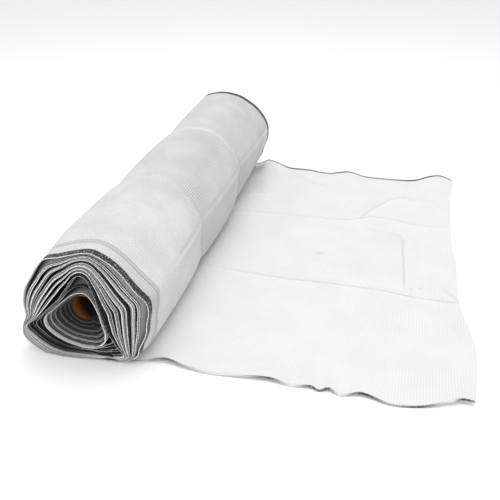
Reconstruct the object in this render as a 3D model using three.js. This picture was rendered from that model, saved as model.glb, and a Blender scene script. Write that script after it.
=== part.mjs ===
// Scaffold debris netting: one roll of white net on a cardboard tube, with its last length laid out on the floor.
// Millimetres, +Z up. +Y runs along the roll from its near end to its far end, and +X towards the loose end.
// The origin is on the floor under the roll, half way along it.

import * as THREE from 'three';

// Driving sizes
const NET_WIDTH = 1000;
const CLOTH = 2;
const GAP = 0.3;
const CORE_BORE_RADIUS = 25;
const CORE_WALL = 3.5;
const CORE_SIDES = 48;
const CORE_NEAR_DEPTH = 55;
const CORE_FAR_DEPTH = 25;

// The core has sunk low and to the left in the soft roll
const CORE_X = -33;
const CORE_Z = 70;

// Directions and distances round the roll are measured about this line, which runs through the core
const AXIS_X = -25;
const AXIS_Z = 70;

// The loose end parts from the wound cloth here, under the roll, which rests on it a little further
const SEAM_X = 50;
const ROLL_LEAVES_SHEET = 80;
const CLEAR_STRIP = 40;

// The wound cloth is drawn in at two places, and swells again a little further along on either side
const PINCHES = [357, 691];
const PINCH_DEPTH = 7;
const PINCH_EXTRA = 8;
const PINCH_DEEPEST = 18;
const PINCH_SPREAD = 24;
const SWELL_NEAR_SIDE = 35;
const SWELL_FAR_SIDE = 60;
const PINCH_SOFTNESS = 6;

// How far the near end's underside stands out towards the viewer, and the direction in which it does so most
const SLIP = 11;
const SLIP_DIRECTION = 248;
const SLIP_SPREAD = 48;
const SLIP_LENGTH = 220;

// Distance from the axis to the outer turn, by direction in degrees from +X towards +Z:
// at the near end, over the middle and at the far end. The floor cuts off what would reach below it.
const OUTLINE = [
  { at: 0, near: 143, middle: 143, far: 134 },
  { at: 10, near: 149, middle: 147, far: 146 },
  { at: 19, near: 160, middle: 156, far: 155 },
  { at: 26, near: 168, middle: 161, far: 161 },
  { at: 34, near: 163, middle: 161, far: 163 },
  { at: 42, near: 159, middle: 161, far: 164 },
  { at: 50, near: 160, middle: 161, far: 164 },
  { at: 58, near: 163, middle: 163, far: 163 },
  { at: 66, near: 166, middle: 164, far: 164 },
  { at: 74, near: 165, middle: 163, far: 163 },
  { at: 86, near: 154, middle: 157, far: 161 },
  { at: 97, near: 145, middle: 152, far: 157 },
  { at: 108, near: 140, middle: 147, far: 152 },
  { at: 119, near: 129, middle: 138, far: 135 },
  { at: 130, near: 119, middle: 127, far: 119 },
  { at: 143, near: 114, middle: 116, far: 109 },
  { at: 160, near: 107, middle: 105, far: 98 },
  { at: 177, near: 100, middle: 95, far: 88 },
  { at: 190, near: 110, middle: 97, far: 83 },
  { at: 200, near: 116, middle: 100, far: 81 },
  { at: 212, near: 108, middle: 98, far: 80 },
  { at: 225, near: 98, middle: 93, far: 82 },
  { at: 240, near: 96, middle: 94, far: 90 },
  { at: 270, near: 100, middle: 100, far: 100 },
  { at: 300, near: 100, middle: 100, far: 100 },
  { at: 318, near: 108, middle: 108, far: 104 },
  { at: 325, near: 116, middle: 119, far: 109 },
  { at: 335, near: 133, middle: 135, far: 119 },
  { at: 346, near: 138, middle: 141, far: 127 },
];

// Main turns that show at the near end: the big triangle into which the outer turns are pressed,
// and the rounded loop that stands round the core
const INNER_TURNS = [
  { at: 2, triangle: 61, loop: 56 },
  { at: 24, triangle: 60, loop: 54 },
  { at: 48, triangle: 72, loop: 56 },
  { at: 64, triangle: 93, loop: 60 },
  { at: 71, triangle: 107, loop: 62 },
  { at: 78, triangle: 111, loop: 62 },
  { at: 85, triangle: 102, loop: 60 },
  { at: 95, triangle: 80, loop: 57 },
  { at: 114, triangle: 60, loop: 50 },
  { at: 132, triangle: 56, loop: 48 },
  { at: 150, triangle: 58, loop: 50 },
  { at: 166, triangle: 65, loop: 57 },
  { at: 178, triangle: 78, loop: 63 },
  { at: 190, triangle: 103, loop: 66 },
  { at: 202, triangle: 94, loop: 65 },
  { at: 219, triangle: 82, loop: 60 },
  { at: 240, triangle: 69, loop: 55 },
  { at: 265, triangle: 61, loop: 52 },
  { at: 292, triangle: 66, loop: 57 },
  { at: 312, triangle: 81, loop: 62 },
  { at: 330, triangle: 106, loop: 63 },
  { at: 337, triangle: 86, loop: 62 },
  { at: 352, triangle: 65, loop: 58 },
];

// The least room that the outer turns take up outside the triangle, and the least between it and the loop
const LEAST_STACK = 7;
const LEAST_HOLLOW = 6;

// The near end's face, from the outer turn to the core. Turn 0 is the outer turn, 1 the triangle,
// 2 the loop and 3 the bore, and depth is how far inside the cloth's edge the face lies there.
const BORE_TURN = 3;
const NEAR_FACE = [
  { turn: 0.08, depth: 0 },
  { turn: 0.1, depth: 14 },
  { turn: 0.22, depth: 14 },
  { turn: 0.24, depth: 0 },
  { turn: 0.5, depth: 1 },
  { turn: 0.53, depth: 8 },
  { turn: 0.6, depth: 8 },
  { turn: 0.63, depth: -2 },
  { turn: 1, depth: -3 },
  { turn: 1.08, depth: 42 },
  { turn: 1.85, depth: 42 },
  { turn: 1.92, depth: 6 },
  { turn: 2.12, depth: 6 },
  { turn: 2.2, depth: 22 },
  { turn: 2.6, depth: 38 },
  { turn: 3, depth: 58 },
];

// Towards the top, the loop and all inside it start deeper, down to just short of the core's end
const TOP_DEPTH = 16;
const TOP_DIRECTION = 80;
const TOP_SPREAD = 45;
const TOP_DEEPEST = 52;

// The far end's face, from the outer turn, 0, to the bore, 1
const FAR_FACE = [
  { turn: 0.04, depth: 0 },
  { turn: 0.05, depth: -6 },
  { turn: 0.12, depth: -6 },
  { turn: 0.14, depth: 6 },
  { turn: 0.5, depth: 0 },
  { turn: 0.53, depth: 9 },
  { turn: 1, depth: 28 },
];

// Places along the roll, from its near end, where its outer surface is shaped
const STATIONS = [
  0, 30, 80, 150, 230, 300, 343, 357, 371, 400, 455,
  530, 610, 674, 691, 708, 745, 810, 890, 1000,
];
const NEAR_SHAPE_ENDS = 130;
const FAR_SHAPE_STARTS = 560;

// Directions round each ring of the roll, in degrees, and how close two of them may lie
const FULL_TURN = 360;
const STEPS_ROUND = 60;
const LEAST_ANGLE = 1;

// The loose end's two selvages, by distance from the core side to the free edge: how far each is drawn
// in or, where negative, runs out, and how high it is lifted off the floor
const NEAR_SELVAGE = [
  { x: 50, inset: 0, lift: 0 },
  { x: 95, inset: 7, lift: 3 },
  { x: 136, inset: 13, lift: 10 },
  { x: 175, inset: 6, lift: 6 },
  { x: 222, inset: 2, lift: 2 },
  { x: 280, inset: 4, lift: 4 },
  { x: 335, inset: 6, lift: 7 },
  { x: 375, inset: 3, lift: 1 },
  { x: 409, inset: 4, lift: 5 },
  { x: 425, inset: 1, lift: 1 },
  { x: 441, inset: 4, lift: 6 },
  { x: 462, inset: -2, lift: 0 },
  { x: 498, inset: 4, lift: 6 },
  { x: 550, inset: -6, lift: 0 },
  { x: 600, inset: 0, lift: 1 },
  { x: 650, inset: 14, lift: 11 },
  { x: 668, inset: 21, lift: 15 },
  { x: 700, inset: 18, lift: 12 },
];
const FAR_SELVAGE = [
  { x: 50, inset: 0, lift: 0 },
  { x: 84, inset: -32, lift: 8 },
  { x: 115, inset: -28, lift: 17 },
  { x: 148, inset: -19, lift: 14 },
  { x: 188, inset: -6, lift: 6 },
  { x: 246, inset: -5, lift: 5 },
  { x: 307, inset: -2, lift: 1 },
  { x: 370, inset: -9, lift: 8 },
  { x: 416, inset: -1, lift: 1 },
  { x: 505, inset: 1, lift: 0 },
  { x: 562, inset: -4, lift: 2 },
  { x: 602, inset: -14, lift: 13 },
  { x: 633, inset: -18, lift: 17 },
  { x: 670, inset: -10, lift: 9 },
];
const LIFT_REACH = 48;

// The cut edge, by distance from the near selvage
const FREE_EDGE = [
  { y: 0, x: 683 },
  { y: 60, x: 691 },
  { y: 120, x: 697 },
  { y: 180, x: 698 },
  { y: 237, x: 692 },
  { y: 292, x: 681 },
  { y: 344, x: 671 },
  { y: 418, x: 670 },
  { y: 515, x: 668 },
  { y: 622, x: 661 },
  { y: 744, x: 660 },
  { y: 860, x: 662 },
  { y: 1000, x: 667 },
];

// The two fold lines that run along the loose end, by distance from the near selvage
const NEAR_FOLD = [
  { x: 50, y: 372 },
  { x: 190, y: 366 },
  { x: 276, y: 359 },
  { x: 400, y: 360 },
  { x: 500, y: 357 },
  { x: 553, y: 348 },
  { x: 600, y: 343 },
  { x: 690, y: 342 },
];
const FAR_FOLD = [
  { x: 50, y: 676 },
  { x: 200, y: 681 },
  { x: 300, y: 682 },
  { x: 400, y: 689 },
  { x: 465, y: 720 },
  { x: 515, y: 714 },
  { x: 584, y: 696 },
  { x: 690, y: 706 },
];
const FOLD_HEIGHT = 4.5;
const FOLD_WIDTH = 13;

// Soft ridges that wander off the fold lines, each through a few places on the sheet
const RIDGES = [
  { height: 4, width: 16, through: [[439, 730], [468, 783], [499, 839], [532, 863], [562, 850], [612, 847]] },
  { height: 3, width: 15, through: [[500, 338], [536, 326], [590, 300], [631, 263], [660, 228]] },
  { height: 3, width: 13, through: [[90, 793], [154, 807]] },
  { height: 3, width: 15, through: [[185, 972], [227, 953], [272, 908], [321, 893]] },
];

// A fold of cloth underneath lifts one corner of the middle band a little
const STEP = { height: 2, width: 12, right: 548, left: 330, fades: 150, near: 395, far: 640 };

// Low swells all over the sheet
const SWELLS = [
  { x: 330, y: 180, height: 4, reach: 90 },
  { x: 520, y: 110, height: 3, reach: 70 },
  { x: 230, y: 520, height: 3, reach: 100 },
  { x: 610, y: 520, height: 4, reach: 60 },
  { x: 400, y: 820, height: 3, reach: 80 },
  { x: 170, y: 850, height: 4, reach: 60 },
];

// The loose end's columns from the roll to the free edge, and its rows across each of the three bands
// between the selvages and the fold lines, as shares of the band
const SHEET_COLUMNS = 36;
const BAND_ROWS = [0, 0.04, 0.13, 0.27, 0.42, 0.58, 0.73, 0.87, 0.96];

const NEAR_END = -NET_WIDTH / 2;
const CORE_RADIUS = CORE_BORE_RADIUS + CORE_WALL;
const BORE_RADIUS = (CORE_RADIUS + GAP) / Math.cos(Math.PI / STEPS_ROUND);
const TO_CORE = new THREE.Vector2(CORE_X - AXIS_X, CORE_Z - AXIS_Z);

const radians = THREE.MathUtils.degToRad;
const smooth = THREE.MathUtils.smoothstep;
const lerp = THREE.MathUtils.lerp;

// A curve through a table's rows, read at one place. A period makes it close on itself.
function along(rows, key, value, place, period = 0) {
  const count = rows.length;
  const row = (i) => {
    const turns = period ? Math.floor(i / count) : 0;
    const index = period ? i - turns * count : Math.min(Math.max(i, 0), count - 1);
    return { at: rows[index][key] + turns * period, is: rows[index][value] };
  };
  let i = rows.findIndex((r) => r[key] > place) - 1;
  if (i === -2) i = period ? count - 1 : count - 2;
  if (!period) i = Math.max(i, 0);
  const [before, from, to, after] = [row(i - 1), row(i), row(i + 1), row(i + 2)];
  const span = to.at - from.at;
  const t = Math.min(Math.max((place - from.at) / span, 0), 1);
  const slopeFrom = (to.is - before.is) / (to.at - before.at) * span;
  const slopeTo = (after.is - from.is) / (after.at - from.at) * span;
  const t2 = t * t;
  const t3 = t2 * t;
  return (2 * t3 - 3 * t2 + 1) * from.is + (t3 - 2 * t2 + t) * slopeFrom
    + (3 * t2 - 2 * t3) * to.is + (t3 - t2) * slopeTo;
}

// Every direction round the axis that the roll's rings use, the two sides of the seam among them
function directions() {
  const steps = Array.from({ length: STEPS_ROUND }, (_, i) => i * FULL_TURN / STEPS_ROUND);
  const towards = (level) => THREE.MathUtils.radToDeg(Math.atan2(level - AXIS_Z, SEAM_X - AXIS_X)) + FULL_TURN;
  const onFloor = towards(0);
  const onCloth = towards(CLOTH + GAP);
  const clear = steps.filter((at) => Math.min(Math.abs(at - onFloor), Math.abs(at - onCloth)) > LEAST_ANGLE);
  return { all: [...clear, onFloor, onCloth].sort((a, b) => a - b), onCloth };
}

const DIRECTIONS = directions();

const bell = (distance, width) => Math.exp(-((distance / width) ** 2));
const turnBetween = (at, other) => Math.abs((at - other + 1.5 * FULL_TURN) % FULL_TURN - FULL_TURN / 2);

// The roll rests on the floor, and on the loose end right of the seam
function reachToFloor(at) {
  const down = -Math.sin(radians(at));
  if (down <= 0) return Infinity;
  const level = at >= DIRECTIONS.onCloth ? CLOTH + GAP : 0;
  return (AXIS_Z - level) / down;
}

// How strongly the roll is drawn in at a distance from its near end, from 0 to 1
function pinch(distance) {
  return PINCHES.reduce((sum, place) => {
    const off = distance - place;
    const width = off < 0 ? SWELL_NEAR_SIDE : SWELL_FAR_SIDE;
    return sum + Math.exp((PINCH_SOFTNESS - Math.hypot(off, PINCH_SOFTNESS)) / width);
  }, 0);
}

// Distance from the axis to the outer turn
function outerRadius(at, distance) {
  const near = 1 - smooth(distance, 0, NEAR_SHAPE_ENDS);
  const far = smooth(distance, FAR_SHAPE_STARTS, NET_WIDTH);
  const full = along(OUTLINE, 'at', 'near', at, FULL_TURN) * near
    + along(OUTLINE, 'at', 'far', at, FULL_TURN) * far
    + along(OUTLINE, 'at', 'middle', at, FULL_TURN) * (1 - near - far);
  const drawnIn = PINCH_DEPTH + PINCH_EXTRA * bell(turnBetween(at, PINCH_DEEPEST), PINCH_SPREAD);
  return Math.min(full - drawnIn * pinch(distance), reachToFloor(at));
}

// Distance from the axis to the wall of the bore, which stands round the core
function boreReach(at) {
  const direction = new THREE.Vector2(Math.cos(radians(at)), Math.sin(radians(at)));
  return TO_CORE.dot(direction) + Math.sqrt(BORE_RADIUS ** 2 - TO_CORE.cross(direction) ** 2);
}

// Distance from the axis to one of the near face's turns, from 0, the outer turn, to the bore
function nearRadius(at, turn) {
  const outer = outerRadius(at, 0);
  const triangle = Math.min(along(INNER_TURNS, 'at', 'triangle', at, FULL_TURN), outer - LEAST_STACK);
  const loop = Math.min(along(INNER_TURNS, 'at', 'loop', at, FULL_TURN), triangle - LEAST_HOLLOW);
  const marks = [outer, triangle, loop, boreReach(at)];
  const inside = Math.min(Math.floor(turn), BORE_TURN - 1);
  return lerp(marks[inside], marks[inside + 1], turn - inside);
}

// How far the near end stands out in a direction
function slip(at) {
  return SLIP * bell(turnBetween(at, SLIP_DIRECTION), SLIP_SPREAD);
}

// Depth of one of the near face's turns, with the deeper start of the loop at the top
function nearDepth(at, turn, depth) {
  const deeper = TOP_DEPTH * bell(turnBetween(at, TOP_DIRECTION), TOP_SPREAD) * smooth(turn, 1, 2);
  return depth + Math.min(deeper, Math.max(TOP_DEEPEST - depth, 0)) - slip(at) * (1 - turn / BORE_TURN);
}

// One closed ring of the roll, from its distance and its reach in each direction
function ring(radiusOf, distanceOf) {
  return DIRECTIONS.all.map((at) => {
    const radius = radiusOf(at);
    return new THREE.Vector3(
      AXIS_X + radius * Math.cos(radians(at)),
      NEAR_END + distanceOf(at),
      AXIS_Z + radius * Math.sin(radians(at)),
    );
  });
}

// A closed solid through rings that return to the first, as on a thick tube
function loft(rings) {
  const count = rings[0].length;
  const places = rings.flat().flatMap((p) => [p.x, p.y, p.z]);
  const faces = [];
  rings.forEach((_, r) => {
    const here = r * count;
    const next = ((r + 1) % rings.length) * count;
    for (let i = 0; i < count; i += 1) {
      const j = (i + 1) % count;
      faces.push(here + i, next + i, next + j, here + i, next + j, here + j);
    }
  });
  return solid(places, faces);
}

// A mesh of plain faces between places
function solid(places, faces) {
  const geometry = new THREE.BufferGeometry();
  geometry.setAttribute('position', new THREE.Float32BufferAttribute(places, 3));
  geometry.setIndex(faces);
  geometry.computeVertexNormals();
  return geometry;
}

// The wound net: its near face from the bore outwards, its outer surface, its far face and its bore
function rollGeometry() {
  const nearFace = [...NEAR_FACE].reverse().map(({ turn, depth }) => ring(
    (at) => nearRadius(at, turn),
    (at) => nearDepth(at, turn, depth),
  ));
  const outside = STATIONS.map((distance) => ring(
    (at) => outerRadius(at, distance),
    (at) => distance - slip(at) * (1 - smooth(distance, 0, SLIP_LENGTH)),
  ));
  const farFace = FAR_FACE.map(({ turn, depth }) => ring(
    (at) => lerp(outerRadius(at, NET_WIDTH), boreReach(at), turn),
    () => NET_WIDTH - depth,
  ));
  return loft([...nearFace, ...outside, ...farFace]);
}

// The cardboard tube, open at both ends
function coreGeometry() {
  const start = NEAR_END + CORE_NEAR_DEPTH;
  const end = NEAR_END + NET_WIDTH - CORE_FAR_DEPTH;
  const wall = [
    [CORE_BORE_RADIUS, start],
    [CORE_RADIUS, start],
    [CORE_RADIUS, end],
    [CORE_BORE_RADIUS, end],
    [CORE_BORE_RADIUS, start],
  ];
  return new THREE.LatheGeometry(wall.map(([r, y]) => new THREE.Vector2(r, y)), CORE_SIDES);
}

// Shortest distance from a place to a path of straight stretches
function distanceToPath(x, y, path) {
  let least = Infinity;
  for (let i = 0; i + 1 < path.length; i += 1) {
    const [ax, ay] = path[i];
    const [bx, by] = path[i + 1];
    const length2 = (bx - ax) ** 2 + (by - ay) ** 2;
    const t = Math.min(Math.max(((x - ax) * (bx - ax) + (y - ay) * (by - ay)) / length2, 0), 1);
    least = Math.min(least, Math.hypot(x - ax - t * (bx - ax), y - ay - t * (by - ay)));
  }
  return least;
}

const fold = (distance) => FOLD_HEIGHT * Math.exp(-Math.abs(distance) / FOLD_WIDTH);

// Height of the loose end's underside over the floor. x runs from the core, y from the near selvage.
function lift(x, y) {
  const selvages = along(NEAR_SELVAGE, 'x', 'lift', x) * bell(Math.max(y, 0), LIFT_REACH)
    + along(FAR_SELVAGE, 'x', 'lift', x) * bell(Math.max(NET_WIDTH - y, 0), LIFT_REACH);
  const folds = fold(y - along(NEAR_FOLD, 'x', 'y', x)) + fold(y - along(FAR_FOLD, 'x', 'y', x));
  const ridges = RIDGES.reduce((sum, r) => sum + r.height * bell(distanceToPath(x, y, r.through), r.width), 0);
  const step = STEP.height
    * smooth(STEP.right - x, -STEP.width / 2, STEP.width / 2) * smooth(x, STEP.left - STEP.fades, STEP.left)
    * smooth(y - STEP.near, -STEP.width, STEP.width) * smooth(STEP.far - y, -STEP.width, STEP.width);
  const swells = SWELLS.reduce((sum, s) => sum + s.height * bell(Math.hypot(x - s.x, y - s.y), s.reach), 0);
  const offRoll = smooth(x, ROLL_LEAVES_SHEET, ROLL_LEAVES_SHEET + CLEAR_STRIP);
  return Math.max(selvages + folds + ridges + step + swells, 0) * offRoll;
}

// The loose end: a thin sheet whose rows follow the selvages and the two fold lines
function looseEndGeometry() {
  const bands = [
    (x) => along(NEAR_SELVAGE, 'x', 'inset', x),
    (x) => along(NEAR_FOLD, 'x', 'y', x),
    (x) => along(FAR_FOLD, 'x', 'y', x),
    (x) => NET_WIDTH - along(FAR_SELVAGE, 'x', 'inset', x),
  ];
  const rows = bands.slice(1).flatMap((_, band) => BAND_ROWS.map((share) => ({ band, share })));
  rows.push({ band: bands.length - 2, share: 1 });
  const start = SEAM_X + GAP;
  const grid = rows.map(({ band, share }) => {
    const line = (x) => lerp(bands[band](x), bands[band + 1](x), share);
    const edge = along(FREE_EDGE, 'y', 'x', line(FREE_EDGE[0].x));
    return Array.from({ length: SHEET_COLUMNS + 1 }, (_, i) => {
      const x = lerp(start, edge, i / SHEET_COLUMNS);
      return { x, y: line(x) };
    });
  });
  const columns = SHEET_COLUMNS + 1;
  const count = grid.length * columns;
  const under = grid.flat().flatMap(({ x, y }) => [x, NEAR_END + y, lift(x, y)]);
  const over = grid.flat().flatMap(({ x, y }) => [x, NEAR_END + y, lift(x, y) + CLOTH]);
  const faces = [];
  const quad = (a, b, c, d) => faces.push(a, b, c, a, c, d);
  for (let r = 0; r + 1 < grid.length; r += 1) {
    for (let i = 0; i + 1 < columns; i += 1) {
      const a = r * columns + i;
      quad(count + a, count + a + 1, count + a + columns + 1, count + a + columns);
      quad(a, a + columns, a + columns + 1, a + 1);
    }
  }
  const rim = [
    ...Array.from({ length: columns }, (_, i) => i),
    ...Array.from({ length: grid.length - 1 }, (_, r) => (r + 2) * columns - 1),
    ...Array.from({ length: columns - 1 }, (_, i) => count - 2 - i),
    ...Array.from({ length: grid.length - 2 }, (_, r) => (grid.length - 2 - r) * columns),
  ];
  rim.forEach((a, i) => {
    const b = rim[(i + 1) % rim.length];
    quad(a, b, count + b, count + a);
  });
  return solid([...under, ...over], faces);
}

const netting = new THREE.MeshStandardMaterial({ name: 'netting', color: '#f2f3f2', roughness: 0.85, metalness: 0 });
const looseNetting = netting.clone();
const cardboard = new THREE.MeshStandardMaterial({ name: 'cardboard', color: '#9a6b3c', roughness: 0.9, metalness: 0 });

const roll = new THREE.Mesh(rollGeometry(), netting);
roll.name = 'roll';

const looseEnd = new THREE.Mesh(looseEndGeometry(), looseNetting);
looseEnd.name = 'loose_end';

const core = new THREE.Mesh(coreGeometry(), cardboard);
core.name = 'core';
core.position.set(CORE_X, 0, CORE_Z);

const group = new THREE.Group();
group.add(core, roll, looseEnd);

export default group;
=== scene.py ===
"""Scaffold debris netting: a roll of white net wound on a cardboard tube, with its last length laid out.

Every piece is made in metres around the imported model. +Y runs along the roll from its near end,
+X towards the loose end, and the origin is on the floor under the middle of the roll.
"""

import math
from functools import partial

import bpy
import numpy as np
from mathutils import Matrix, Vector

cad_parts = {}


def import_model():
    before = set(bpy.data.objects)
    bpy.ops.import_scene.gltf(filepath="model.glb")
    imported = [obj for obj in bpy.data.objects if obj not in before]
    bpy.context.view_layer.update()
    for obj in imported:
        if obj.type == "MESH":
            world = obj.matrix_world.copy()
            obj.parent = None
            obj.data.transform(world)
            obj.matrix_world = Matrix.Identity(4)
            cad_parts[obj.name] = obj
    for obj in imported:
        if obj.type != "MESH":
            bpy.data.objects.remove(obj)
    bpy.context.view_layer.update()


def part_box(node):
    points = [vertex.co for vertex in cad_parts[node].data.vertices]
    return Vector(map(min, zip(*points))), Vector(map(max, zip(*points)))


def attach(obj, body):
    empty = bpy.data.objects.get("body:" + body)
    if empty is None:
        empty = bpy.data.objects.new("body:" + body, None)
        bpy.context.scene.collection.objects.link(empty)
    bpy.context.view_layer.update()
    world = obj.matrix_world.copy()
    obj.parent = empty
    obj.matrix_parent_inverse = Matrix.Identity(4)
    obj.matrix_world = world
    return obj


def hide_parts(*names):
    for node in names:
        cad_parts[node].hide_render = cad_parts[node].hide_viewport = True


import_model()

bl_info = {
    "name": "Roll of debris netting",
    "version": (1, 0, 0),
    "blender": (4, 5, 0),
    "location": "View3D > Sidebar > Netting",
    "description": "Makes a roll of debris netting on a cardboard tube, its loose end and a plain stage",
    "category": "Add Mesh",
}

MM = 0.001
FULL_TURN = 360.0


# Tables

def table(names, *rows):
    """Rows of numbers as one array for each named column."""
    return {name: np.array(column, float) for name, column in zip(names.split(), zip(*rows))}


def read(rows, key, column, places, period=None):
    """A smooth curve through one column of a table, read at many places. A period closes it on itself."""
    at, value = rows[key], rows[column]
    if period:
        at = np.concatenate([at[-2:] - period, at, at[:3] + period])
        value = np.concatenate([value[-2:], value, value[:3]])
        places = np.mod(places, period)
    else:
        at = np.concatenate([at[:1], at, at[-1:]])
        value = np.concatenate([value[:1], value, value[-1:]])
    i = np.clip(np.searchsorted(at, places, side="right") - 1, 1, len(at) - 3)
    span = at[i + 1] - at[i]
    t = np.clip((places - at[i]) / span, 0, 1)
    slope_from = (value[i + 1] - value[i - 1]) / (at[i + 1] - at[i - 1]) * span
    slope_to = (value[i + 2] - value[i]) / (at[i + 2] - at[i]) * span
    t2, t3 = t * t, t * t * t
    return (
        (2 * t3 - 3 * t2 + 1) * value[i] + (t3 - 2 * t2 + t) * slope_from
        + (3 * t2 - 2 * t3) * value[i + 1] + (t3 - t2) * slope_to
    )


def smooth(value, start, end):
    """0 up to start, 1 beyond end, and a soft step between."""
    t = np.clip((np.asarray(value, float) - start) / (end - start), 0, 1)
    return t * t * (3 - 2 * t)


def bell(distance, width):
    """1 at no distance, and less the further off."""
    return np.exp(-((np.asarray(distance, float) / width) ** 2))


def lerp(a, b, share):
    """A share of the way from one value to another."""
    return a + (b - a) * share


def wander(places, seed):
    """A smooth random line between -1 and 1, the same on each run, that changes about once in each unit."""
    low = math.floor(places.min())
    knots = np.random.default_rng(seed).uniform(-1, 1, math.ceil(places.max()) - low + 3)
    i = np.floor(places).astype(int) - low
    t = places - np.floor(places)
    return lerp(knots[i], knots[i + 1], t * t * (3 - 2 * t))


def wander_by(places, line):
    """One of the random lines over a single measure."""
    often, start, seed = line
    return wander(np.asarray(places, float) * often + start, seed)


def wander_over(a, b, line):
    """One of the random lines over two measures."""
    often_by_a, often_by_b, start, seed = line
    return wander(a * often_by_a + b * often_by_b + start, seed)


# Sizes in millimetres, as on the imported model

NET_WIDTH = 1000
NEAR_END = -NET_WIDTH / 2
CORE_X = -33
CORE_Z = 70
SEAM_X = 50

# Directions and distances round the roll are measured about this line, which runs through the core.
# A spot round it is a strength, a direction and a spread in degrees.
AXIS_X = -25
AXIS_Z = 70
SOLID_CLOTH = 2.3
ROLL_LEAVES_SHEET = 80
CLEAR_STRIP = 40

# The least slope that counts as downwards, a distance beyond everything, and the lowest that the wound
# cloth's outer and inner faces go
LEAST_SLOPE = 0.02
FAR_AWAY = 1e6
OUTER_FACE_LEVEL = 0.05
INNER_FACE_LEVEL = 0.4

# The wound cloth is drawn in at two places, deepest low on the right
PINCHES = (357, 691)
PINCH_DEPTH = 7
PINCH_EXTRA = (8, 18, 24)
SWELL_NEAR_SIDE = 35
SWELL_FAR_SIDE = 60
PINCH_SOFTNESS = 10

# How far the near end's underside stands out, and the direction in which it does so most
SLIP = (11, 248, 48)
SLIP_LENGTH = 220

# Distance from the axis to the outer turn, by direction in degrees from +X towards +Z
OUTLINE = table(
    "at near middle far",
    (0, 143, 143, 134), (10, 149, 147, 146), (19, 160, 156, 155), (26, 168, 161, 161),
    (34, 163, 161, 163), (42, 159, 161, 164), (50, 160, 161, 164), (58, 163, 163, 163),
    (66, 166, 164, 164), (74, 165, 163, 163), (86, 154, 157, 161), (97, 145, 152, 157),
    (108, 140, 147, 152), (119, 129, 138, 135), (130, 119, 127, 119), (143, 114, 116, 109),
    (160, 107, 105, 98), (177, 100, 95, 88), (190, 110, 97, 83), (200, 116, 100, 81),
    (212, 108, 98, 80), (225, 98, 93, 82), (240, 96, 94, 90), (270, 100, 100, 100),
    (300, 100, 100, 100), (318, 108, 108, 104), (325, 116, 119, 109), (335, 133, 135, 119),
    (346, 138, 141, 127),
)
NEAR_SHAPE_ENDS = 130
FAR_SHAPE_STARTS = 560

# The big triangle into which the outer turns are pressed at the near end, and the loop round the core
INNER_TURNS = table(
    "at triangle loop",
    (2, 61, 56), (24, 60, 54), (48, 72, 56), (64, 93, 60), (71, 107, 62), (78, 111, 62),
    (85, 102, 60), (95, 80, 57), (114, 60, 50), (132, 56, 48), (150, 58, 50), (166, 65, 57),
    (178, 78, 62), (190, 103, 63), (202, 94, 59), (219, 82, 51), (240, 69, 45), (265, 61, 44),
    (292, 66, 51), (312, 81, 59), (330, 106, 63), (337, 86, 62), (352, 65, 58),
)

# The least room that the outer turns take up outside the triangle, and the least between it and the loop
LEAST_STACK = 7
LEAST_HOLLOW = 6

# Towards the top, the loop and all inside it start deeper, down to just short of the tube's end
AT_TOP = (1, 80, 45)
TOP_DEPTH = 16
TOP_DEEPEST = 52

# The turns of cloth from the outer one inwards. place is 0 on the outline, 1 on the triangle, 2 on the
# loop and 3 at the tube, and curl is how much further in the near edge leans. near and far say how deep
# each edge lies inside the roll's end, in millimetres, band is how wide the dark selvage thread shows at
# the near edge, and thick is the hem's thickness there. lost is how much of the light is lost between the
# turn and its neighbour, and lit is how far in from the edge the inner face stays light.
TURNS = table(
    "place curl near far band thick lost lit",
    (0.00, 0.00, 0, 0, 14.0, 1.8, 0.60, 6),
    (0.05, 0.17, 3, -12, 3.0, 1.8, 0.36, 5),
    (0.13, 0.13, 2, 2, 2.0, 1.6, 0.90, 3),
    (0.27, 0.08, 3, 5, 9.0, 1.6, 0.97, 0),
    (0.33, 0.04, 0, 1, 1.0, 2.2, 0.80, 5),
    (0.41, 0.00, 3, 7, 2.0, 1.5, 0.90, 2),
    (0.51, 0.00, 1, 4, 9.0, 1.8, 0.97, 0),
    (0.54, 0.00, 3, 2, 1.0, 1.5, 0.90, 1),
    (0.58, 0.00, -2, 6, 1.0, 2.4, 0.80, 4),
    (0.68, 0.00, 1, 9, 10.0, 1.5, 0.97, 0),
    (0.71, 0.00, -3, 5, 2.0, 1.8, 0.90, 2),
    (0.81, 0.00, 1, 8, 10.0, 1.5, 0.97, 0),
    (0.85, 0.00, -2, 11, 2.0, 1.9, 0.90, 3),
    (1.00, 0.00, -4, 9, 13.0, 3.8, 0.95, 3),
    (1.08, 0.00, 3, 12, 9.0, 1.6, 0.97, 0),
    (1.20, 0.00, 9, 9, 10.0, 1.2, 0.97, 0),
    (1.40, 0.00, 7, 13, 9.0, 1.2, 0.97, 0),
    (1.52, 0.00, 14, 10, 8.0, 1.0, 0.97, 0),
    (1.74, 0.00, 11, 14, 6.0, 1.2, 0.97, 1),
    (2.00, 0.00, -1, 12, 0.0, 2.6, 0.95, 7),
    (2.10, 0.00, 11, 15, 4.0, 1.4, 0.95, 1),
    (2.16, 0.00, 13, 12, 0.0, 1.3, 0.85, 3),
    (2.28, 0.00, 20, 16, 4.0, 1.3, 0.95, 1),
    (2.34, 0.00, 22, 14, 0.0, 1.3, 0.85, 3),
    (2.46, 0.00, 31, 18, 4.0, 1.4, 0.95, 1),
    (2.52, 0.00, 33, 17, 0.0, 1.3, 0.85, 3),
    (2.72, 0.00, 43, 20, 3.0, 1.4, 0.95, 1),
    (2.92, 0.00, 49, 22, 0.0, 1.2, 0.95, 1),
)
PLACE_OF_TUBE = 3
CURL_LENGTH = 24
CURL_LESS_AT_LEFT = (0.7, 180, 50)

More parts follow.
